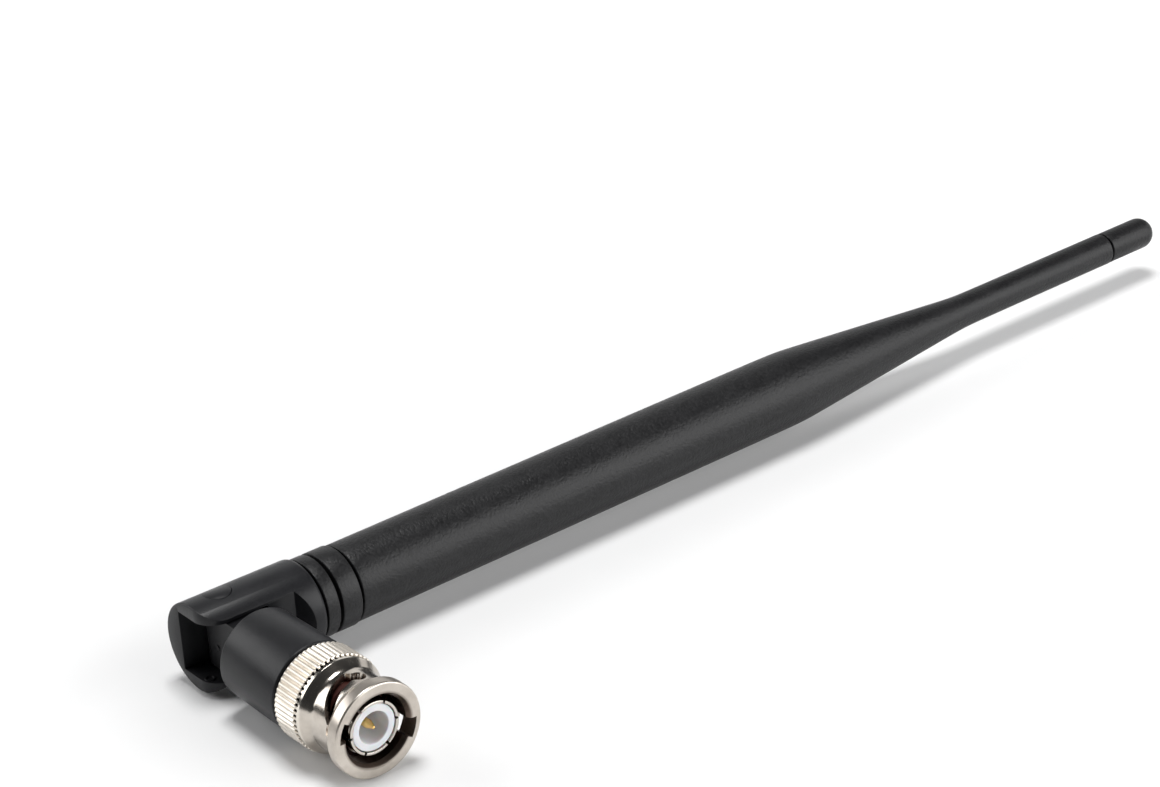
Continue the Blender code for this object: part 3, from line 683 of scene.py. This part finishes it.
def build_wave_spring(place, look):
    """The spring washer: a strip that waves round the plug."""
    inner, outer = WAVE_RADII
    half = WAVE_HALF_THICKNESS
    corners = [(inner, -half), (inner, half, 0.04), (outer, half, 0.04), (outer, -half, 0.04)]
    section = rounded([*corners, (inner, -half, 0.04), (inner, half)], 3)[1:-1]
    mesh = bmesh.new()
    rings = []
    for radius, lift in section:
        ring = []
        for k in range(144):
            angle = k * tau / 144
            along = WAVE_MIDDLE + lift + WAVE_SWING * cos(WAVE_COUNT * angle)
            ring.append(mesh.verts.new((radius * cos(angle), radius * sin(angle), along)))
        rings.append(ring)
    for first, second in zip(rings, [*rings[1:], rings[0]]):
        stitch(mesh, first, second)
    made = make_object("wave_washer", mesh, place["plug"])
    finish(made, look["spring_steel"], "plug", ["wave_spring"], 50)
    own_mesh(made)


# ---------------------------------------------------------------- materials


def link(tree, source, target):
    tree.links.new(source, target)


def object_coordinates(tree, stretch=(1, 1, 1)):
    mapping = tree.nodes.new("ShaderNodeMapping")
    mapping.inputs["Scale"].default_value = stretch
    link(tree, tree.nodes.new("ShaderNodeTexCoord").outputs["Object"], mapping.inputs["Vector"])
    return mapping.outputs["Vector"]


def noise(tree, vector, scale, detail=3, roughness=0.55):
    """Fractal noise on these coordinates, with this many features in a metre."""
    made = tree.nodes.new("ShaderNodeTexNoise")
    for socket, value in (("Scale", scale), ("Detail", detail), ("Roughness", roughness)):
        made.inputs[socket].default_value = value
    link(tree, vector, made.inputs["Vector"])
    return made.outputs["Fac"]


def ranged(tree, value, low, high, source=(0.3, 0.7)):
    """Goes from low to high while the value goes through the source range."""
    made = tree.nodes.new("ShaderNodeMapRange")
    made.inputs["From Min"].default_value, made.inputs["From Max"].default_value = source
    made.inputs["To Min"].default_value, made.inputs["To Max"].default_value = low, high
    link(tree, value, made.inputs["Value"])
    return made.outputs["Result"]


def blended(tree, value, first, second):
    """A colour between two plain ones."""
    made = tree.nodes.new("ShaderNodeMix")
    made.data_type = "RGBA"
    link(tree, value, made.inputs["Factor"])
    made.inputs["A"].default_value = (*first, 1)
    made.inputs["B"].default_value = (*second, 1)
    return made.outputs["Result"]


def bumped(tree, value, distance, strength, before=None):
    """A normal with this relief, which is distance millimetres deep, on top of the relief before it."""
    made = tree.nodes.new("ShaderNodeBump")
    made.inputs["Distance"].default_value = distance * MM
    made.inputs["Strength"].default_value = strength
    link(tree, value, made.inputs["Height"])
    if before:
        link(tree, before, made.inputs["Normal"])
    return made.outputs["Normal"]


def new_look(name, **uniform):
    """A material with its Principled shader's uniform values set on the shader's own sockets."""
    look = bpy.data.materials.new(name)
    look.use_nodes = True
    shader = look.node_tree.nodes["Principled BSDF"]
    for socket, value in uniform.items():
        shader.inputs[socket.replace("_", " ")].default_value = value
    return look, look.node_tree, shader


def plastic(name, dark, light, roughness, grain_size, grain_depth, waviness):
    """Moulded plastic: eroded grain that also varies its gloss, slow waves of the wall, slight patches."""
    look, tree, shader = new_look(name, IOR=1.46, Specular_IOR_Level=0.3)
    vector = object_coordinates(tree)
    grain = noise(tree, vector, 1000 / grain_size, 2, 0.65)
    patches = noise(tree, vector, 260, 4)
    waves = noise(tree, vector, 90, 2)
    both = calculated(tree, "ADD", ranged(tree, grain, 0, 0.7), ranged(tree, patches, 0, 0.3))
    link(tree, blended(tree, both, dark, light), shader.inputs["Base Color"])
    uneven = ranged(tree, patches, -0.03, 0.03)
    gloss = calculated(tree, "ADD", uneven, ranged(tree, grain, roughness, roughness + 0.1))
    link(tree, gloss, shader.inputs["Roughness"])
    slow = bumped(tree, waves, waviness, 0.5)
    link(tree, bumped(tree, grain, grain_depth, 0.7, slow), shader.inputs["Normal"])
    return look


def radius_and_distance(tree):
    """The radius about the object's Z and the distance along it, as values from nodes."""
    parts = tree.nodes.new("ShaderNodeSeparateXYZ")
    link(tree, object_coordinates(tree), parts.inputs["Vector"])
    flat = tree.nodes.new("ShaderNodeCombineXYZ")
    link(tree, parts.outputs["X"], flat.inputs["X"])
    link(tree, parts.outputs["Y"], flat.inputs["Y"])
    length = tree.nodes.new("ShaderNodeVectorMath")
    length.operation = "LENGTH"
    link(tree, flat.outputs["Vector"], length.inputs[0])
    return length.outputs["Value"], parts.outputs["Z"]


def lathe_lines(tree, size):
    """Noise that depends only on the radius and the distance along Z, as a lathe's cutter leaves it."""
    radius, along = radius_and_distance(tree)
    pair = tree.nodes.new("ShaderNodeCombineXYZ")
    link(tree, radius, pair.inputs["X"])
    link(tree, along, pair.inputs["Y"])
    return noise(tree, pair.outputs["Vector"], 1000 / size, 2, 0.6)


def metal(name, dull, bright, roughness, lines, depth, turned_on_a_lathe=True):
    """Plated or bare metal: fine machining lines, stains that dull it in patches, and a faint ripple."""
    look, tree, shader = new_look(name, Metallic=1.0)
    vector = object_coordinates(tree)
    stains = noise(tree, vector, 320, 4, 0.6)
    if turned_on_a_lathe:
        cuts = lathe_lines(tree, lines)
    else:
        cuts = noise(tree, object_coordinates(tree, (1, 1, 0.1)), 1000 / lines)
    link(tree, blended(tree, ranged(tree, stains, 0, 1), dull, bright), shader.inputs["Base Color"])
    link(tree, ranged(tree, stains, roughness + 0.05, roughness - 0.04), shader.inputs["Roughness"])
    ripple = bumped(tree, noise(tree, vector, 500, 2), 0.02, 0.3)
    link(tree, bumped(tree, cuts, depth, 0.35, ripple), shader.inputs["Normal"])
    return look


def between(tree, value, first, last, low, high):
    """Goes from low to high while the value goes between these two lengths in millimetres."""
    return ranged(tree, value, low, high, (first * MM, last * MM))


def calculated(tree, operation, first, second):
    """The result of one sum on two values that come from nodes."""
    made = tree.nodes.new("ShaderNodeMath")
    made.operation = operation
    link(tree, first, made.inputs[0])
    link(tree, second, made.inputs[1])
    return made.outputs["Value"]


def mixed(tree, value, first, second):
    """A blend of two colours that already come from nodes."""
    made = tree.nodes.new("ShaderNodeMix")
    made.data_type = "RGBA"
    for socket, source in (("Factor", value), ("A", first), ("B", second)):
        link(tree, source, made.inputs[socket])
    return made.outputs["Result"]


def make_nut_look():
    """Nickel plate: polished neck, satin knurl and flange, and painted shade in its bore and in the knurl's
    pockets.
    """
    look = metal("nickel_plate_nut", (0.47, 0.425, 0.375), (0.62, 0.57, 0.51), 0.16, 0.09, 0.012)
    tree = look.node_tree
    shader = tree.nodes["Principled BSDF"]
    radius, along = radius_and_distance(tree)
    gloss = shader.inputs["Roughness"].links[0].from_socket
    gloss = calculated(tree, "ADD", gloss, between(tree, along, KNURL_END, KNURL_END + 0.3, 0.22, 0))
    gloss = calculated(tree, "ADD", gloss, between(tree, along, NECK_END - 1.2, NECK_END + 0.3, 0, 0.17))
    link(tree, gloss, shader.inputs["Roughness"])
    stains = ranged(tree, noise(tree, object_coordinates(tree), 320, 4, 0.6), 0, 1)
    satin = blended(tree, stains, (0.66, 0.61, 0.545), (0.78, 0.73, 0.655))
    # painted shade: this dark colour stands for the shade that falls in the bore and in the knurl's pockets
    dark = blended(tree, stains, (0.06, 0.042, 0.032), (0.14, 0.105, 0.085))
    colour = shader.inputs["Base Color"].links[0].from_socket
    knurled = between(tree, along, KNURL_END + 0.9, KNURL_END + 1.1, 1, 0)
    colour = mixed(tree, knurled, colour, satin)
    # painted shade in the pockets at the knurl's end
    pocket_shade = between(tree, radius, ROOT_RADIUS - 0.09, ROOT_RADIUS - 0.04, 1, 0)
    behind = between(tree, along, POCKET_START - 0.1, POCKET_START - 0.05, 0, 1)
    ahead = between(tree, along, POCKET_END + 0.03, POCKET_END + 0.08, 1, 0)
    pocket_shade = calculated(tree, "MULTIPLY", pocket_shade, calculated(tree, "MULTIPLY", behind, ahead))
    # painted shade deep in the bore
    inside = between(tree, radius, BORE_RADIUS + 0.35, BORE_RADIUS + 0.85, 1, 0)
    colour = mixed(tree, calculated(tree, "MAXIMUM", pocket_shade, inside), colour, dark)
    link(tree, colour, shader.inputs["Base Color"])
    return look


def make_contact_look():
    """The contact body: bright at the tips of its fingers, and painted shade behind them, deep in the plug.
    """
    look = metal("nickel_plate_contact", (0.56, 0.52, 0.47), (0.70, 0.66, 0.60), 0.2, 0.09, 0.012)
    tree = look.node_tree
    shader = tree.nodes["Principled BSDF"]
    plain_nickel = shader.inputs["Base Color"].links[0].from_socket
    stains = ranged(tree, noise(tree, object_coordinates(tree), 700, 4, 0.6), 0, 1)
    # painted shade: a dark brown that stands for the shade deep in the plug, behind the fingers' tips
    deep = blended(tree, stains, (0.035, 0.022, 0.016), (0.085, 0.055, 0.04))
    tips = between(tree, radius_and_distance(tree)[1], FINGER_TIP - 0.9, FINGER_TIP - 0.3, 0, 1)
    link(tree, mixed(tree, tips, deep, plain_nickel), shader.inputs["Base Color"])
    return look


def make_looks():
    """All materials by name. The colours are linear, and the first is the darker one."""
    ptfe, tree, shader = new_look("ptfe_white", IOR=1.36, Subsurface_Weight=0.35, Subsurface_Scale=0.0008)
    vector = object_coordinates(tree)
    cloud = noise(tree, vector, 400, 3)
    colour = blended(tree, ranged(tree, cloud, 0, 1), (0.68, 0.69, 0.72), (0.75, 0.76, 0.78))
    link(tree, colour, shader.inputs["Base Color"])
    link(tree, ranged(tree, cloud, 0.30, 0.42), shader.inputs["Roughness"])
    link(tree, bumped(tree, lathe_lines(tree, 0.12), 0.01, 0.3), shader.inputs["Normal"])
    grained = plastic("black_grained", (0.0045, 0.0045, 0.005), (0.016, 0.016, 0.017), 0.34, 0.45, 0.13, 0.05)
    satin = plastic("black_satin", (0.005, 0.005, 0.0055), (0.0155, 0.0155, 0.0165), 0.34, 0.4, 0.085, 0.05)
    smooth = plastic("black_smooth", (0.0075, 0.0077, 0.009), (0.0125, 0.0128, 0.0148), 0.33, 0.2, 0.02, 0.05)
    silicone = plastic("silicone_dark", (0.045, 0.011, 0.008), (0.075, 0.018, 0.012), 0.55, 0.12, 0.01, 0.03)
    jacket = plastic("jacket_brown", (0.30, 0.15, 0.08), (0.40, 0.21, 0.12), 0.42, 0.15, 0.012, 0.03)
    nylon = plastic("nylon_natural", (0.70, 0.69, 0.64), (0.80, 0.79, 0.75), 0.5, 0.2, 0.015, 0.04)
    steel = metal("spring_steel_strip", (0.40, 0.40, 0.41), (0.56, 0.56, 0.57), 0.3, 0.1, 0.012, False)
    return {
        "grained": grained,
        "satin": satin,
        "smooth": smooth,
        "nickel": metal("nickel_plate", (0.62, 0.575, 0.52), (0.76, 0.715, 0.65), 0.17, 0.09, 0.012),
        "nut_nickel": make_nut_look(),
        "contact_nickel": make_contact_look(),
        "ptfe": ptfe,
        "gold": metal("gold_plate", (0.86, 0.55, 0.16), (0.98, 0.70, 0.28), 0.18, 0.08, 0.008),
        "brass": metal("brass_tube", (0.60, 0.43, 0.19), (0.76, 0.57, 0.28), 0.3, 0.12, 0.015, False),
        "copper": metal("copper_wire", (0.66, 0.32, 0.17), (0.83, 0.44, 0.26), 0.28, 0.1, 0.01, False),
        "spring_steel": steel,
        "silicone": silicone,
        "cable_jacket": jacket,
        "white_nylon": nylon,
    }


KEPT_NODES = {
    "face_gasket": "silicone",
    "crimp_ferrule": "nickel",
    "snap_ring": "spring_steel",
    "thrust_washer": "spring_steel",
    "coax_plug_end": "cable_jacket",
    "coax_mast_end": "cable_jacket",
    "sleeve_radiator": "brass",
    "lower_spacer": "white_nylon",
    "upper_spacer": "white_nylon",
    "whip_bush": "white_nylon",
    "coil_former": "white_nylon",
    "lower_wire": "copper",
    "phasing_coil": "copper",
    "whip": "copper",
}


def dress_kept_nodes(looks):
    for name, look in KEPT_NODES.items():
        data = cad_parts[name].data
        data.materials.clear()
        data.materials.append(looks[look])
        data.shade_smooth()
        data.set_sharp_from_angle(angle=radians(40))


def build_elbow_cable(place, looks):
    """The feed cable's bend, which follows both sides of the elbow."""
    points = [Vector((0, BEND_START - 0.45 * k, 0)) for k in range(12)]
    turns = [k * pi / 24 for k in range(13)]
    points += [Vector((1 - cos(turn), 1 - sin(turn), 0)) * BEND_RADIUS for turn in turns]
    points += [Vector((3.2, 0, 0)), Vector((BEND_END, 0, 0))]
    mesh = bmesh.new()
    rings = []
    for k, point in enumerate(points):
        ahead = (points[min(k + 1, len(points) - 1)] - points[max(k - 1, 0)]).normalized()
        up = Vector((0, 0, 1))
        side = ahead.cross(up)
        around = [j * tau / CABLE_SIDES for j in range(CABLE_SIDES)]
        ring = [point + (up * cos(angle) + side * sin(angle)) * CABLE_RADIUS for angle in around]
        rings.append([mesh.verts.new(corner) for corner in ring])
    for first, second in zip(rings, rings[1:]):
        stitch(mesh, first, second)
    mesh.faces.new(rings[0])
    mesh.faces.new(rings[-1])
    made = make_object("feed_cable_bend", mesh, place["plan"])
    made.data.shade_smooth()
    made.data.set_sharp_from_angle(angle=radians(40))
    made.data.materials.append(looks["cable_jacket"])
    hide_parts("coax_elbow")
    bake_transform(made)


# ---------------------------------------------------------------- studio


def softbox(name, direction, distance, size, power):
    """An area light that faces the antenna from this direction."""
    data = bpy.data.lights.new(name, "AREA")
    data.shape = "RECTANGLE"
    data.size, data.size_y = size
    data.energy = power
    made = bpy.data.objects.new(name, data)
    bpy.context.scene.collection.objects.link(made)
    towards = Vector(direction).normalized()
    made.location = STUDIO_CENTRE + towards * distance
    made.rotation_euler = towards.to_track_quat("Z", "Y").to_euler()


def build_studio():
    look, tree, shader = new_look("floor_pale", Roughness=0.85, Specular_IOR_Level=0.2)
    mottle = noise(tree, object_coordinates(tree), 30, 3)
    colour = blended(tree, ranged(tree, mottle, 0, 1), (0.86, 0.86, 0.86), (0.88, 0.88, 0.88))
    link(tree, colour, shader.inputs["Base Color"])
    floor = bmesh.new()
    bmesh.ops.create_grid(floor, x_segments=8, y_segments=8, size=FLOOR_HALF_SIZE / MM)
    made = make_object("studio_floor", floor, Matrix.Translation((0, 0, -0.0001)))
    made.data.materials.append(look)
    world = bpy.data.worlds.new("studio")
    world.use_nodes = True
    background = world.node_tree.nodes["Background"]
    background.inputs["Color"].default_value = SKY_COLOUR
    background.inputs["Strength"].default_value = SKY_STRENGTH
    bpy.context.scene.world = world
    for name, settings in SOFTBOXES.items():
        softbox(name, *settings)


def build_camera():
    data = bpy.data.cameras.new("camera")
    data.lens = CAMERA_LENS
    data.clip_start, data.clip_end = 0.01, 20
    made = bpy.data.objects.new("camera", data)
    bpy.context.scene.collection.objects.link(made)
    made.location = CAMERA_PLACE
    made.rotation_euler = [radians(angle) for angle in CAMERA_ANGLES]
    bpy.context.scene.camera = made
    bpy.context.scene.view_settings.view_transform = "Standard"


# ---------------------------------------------------------------- the scene


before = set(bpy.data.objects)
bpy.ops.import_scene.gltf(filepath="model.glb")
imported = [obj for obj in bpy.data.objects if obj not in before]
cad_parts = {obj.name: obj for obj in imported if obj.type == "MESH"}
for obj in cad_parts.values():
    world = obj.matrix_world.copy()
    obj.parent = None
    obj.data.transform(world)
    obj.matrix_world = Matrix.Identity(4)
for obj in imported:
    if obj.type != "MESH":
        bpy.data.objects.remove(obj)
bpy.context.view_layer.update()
place = places()
looks = make_looks()
build_radome(place, looks)
build_tip_cap(place, looks)
build_rings(place, looks)
build_fork(place, looks)
build_ear_marks(place, looks)
build_hinge_pins(place, looks)
build_barrel(place, looks)
build_nut(place, looks)
build_plug_body(place, looks)
build_plug_insides(place, looks)
build_elbow_cable(place, looks)
build_wave_spring(place, looks)
dress_kept_nodes(looks)
build_studio()
build_camera()
